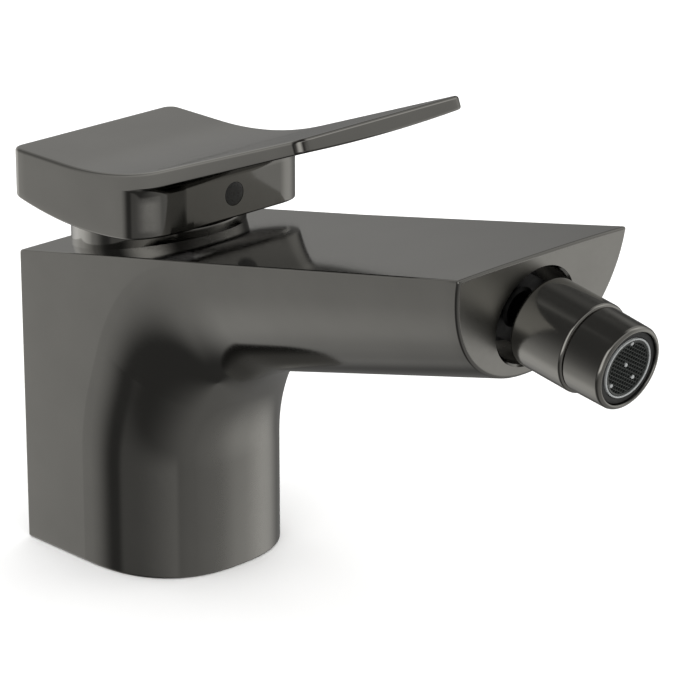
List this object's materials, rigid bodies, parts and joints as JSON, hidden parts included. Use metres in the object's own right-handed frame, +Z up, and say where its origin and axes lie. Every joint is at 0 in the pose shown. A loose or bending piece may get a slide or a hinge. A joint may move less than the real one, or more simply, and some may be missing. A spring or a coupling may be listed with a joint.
{
  "type": "bidet mixer",
  "caption": "Single-lever bidet mixer with an L-shaped body, a wide flat lever over a hollow hub, a ceramic disc cartridge and a swivelling ball-joint outlet.",
  "frame": {"origin": "where the cartridge's axis meets the deck, on the base's underside", "axes": "+X along the spout towards the outlet, +Y to the left seen from behind the mixer, +Z up along the cartridge's axis"},
  "size_m": [0.1724, 0.0516, 0.1208],
  "materials": {
    "graphite_body": "polished graphite coating on brass",
    "graphite_handle": "polished graphite coating on zinc",
    "graphite_outlet": "polished graphite coating on brass",
    "blackened_brass": "blackened brass",
    "bare_brass": "machined brass",
    "steel": "ground steel",
    "black_rubber": "black rubber",
    "white_plastic": "moulded acetal",
    "grey_plastic": "moulded plastic",
    "ceramic": "lapped alumina",
    "plug": "dark grey plastic",
    "jet_former": "pale grey plastic",
    "screen": "dark plastic"
  },
  "bodies": {
    "body": {"body_casting": "graphite_body", "base_seal": "black_rubber", "cartridge_base": "white_plastic", "port_seals": "black_rubber", "cartridge_housing": "white_plastic", "housing_seal": "black_rubber", "fixed_disc": "ceramic", "cartridge_nut": "bare_brass", "cartridge_cover": "graphite_body", "swivel_nipple": "blackened_brass", "nipple_seal": "black_rubber"},
    "carrier": {"lever_carrier": "grey_plastic", "pivot_pin": "steel"},
    "lever": {"spindle": "steel", "handle": "graphite_handle", "grub_screw": "steel", "handle_plug": "plug"},
    "disc": {"moving_disc": "ceramic", "disc_driver": "grey_plastic"},
    "swivel_ring": {"slip_ring": "white_plastic"},
    "outlet": {"swivel_sleeve": "graphite_outlet", "ball_seal": "black_rubber", "aerator_cap": "graphite_outlet", "cap_ring": "black_rubber", "aerator_insert": "jet_former", "aerator_screen": "screen", "filter_disc": "grey_plastic"}
  },
  "joints": [
    {"name": "temperature_turn", "type": "hinge", "parent": "body", "child": "carrier", "pos_m": [0, 0, 0.07313], "axis": [0, 0, 1], "range_deg": [-45, 45]},
    {"name": "lever_lift", "type": "hinge", "parent": "carrier", "child": "lever", "pos_m": [0, 0, 0.07313], "axis": [0, -1, 0], "range_deg": [0, 22]},
    {"name": "disc_slide", "type": "slide", "parent": "carrier", "child": "disc", "axis": [1, 0, 0], "range_m": [0, 0.0047]},
    {"name": "outlet_spin", "type": "hinge", "parent": "body", "child": "swivel_ring", "pos_m": [0.12915, 0, 0.08526], "axis": [0.9854, 0, -0.1702], "continuous": true},
    {"name": "outlet_tilt", "type": "hinge", "parent": "swivel_ring", "child": "outlet", "pos_m": [0.12915, 0, 0.08526], "axis": [0, 1, 0], "range_deg": [-15, 15]}
  ],
  "couplings": [
    {"joint": "disc_slide", "follows": "lever_lift", "m_per_rad": 0.012}
  ]
}
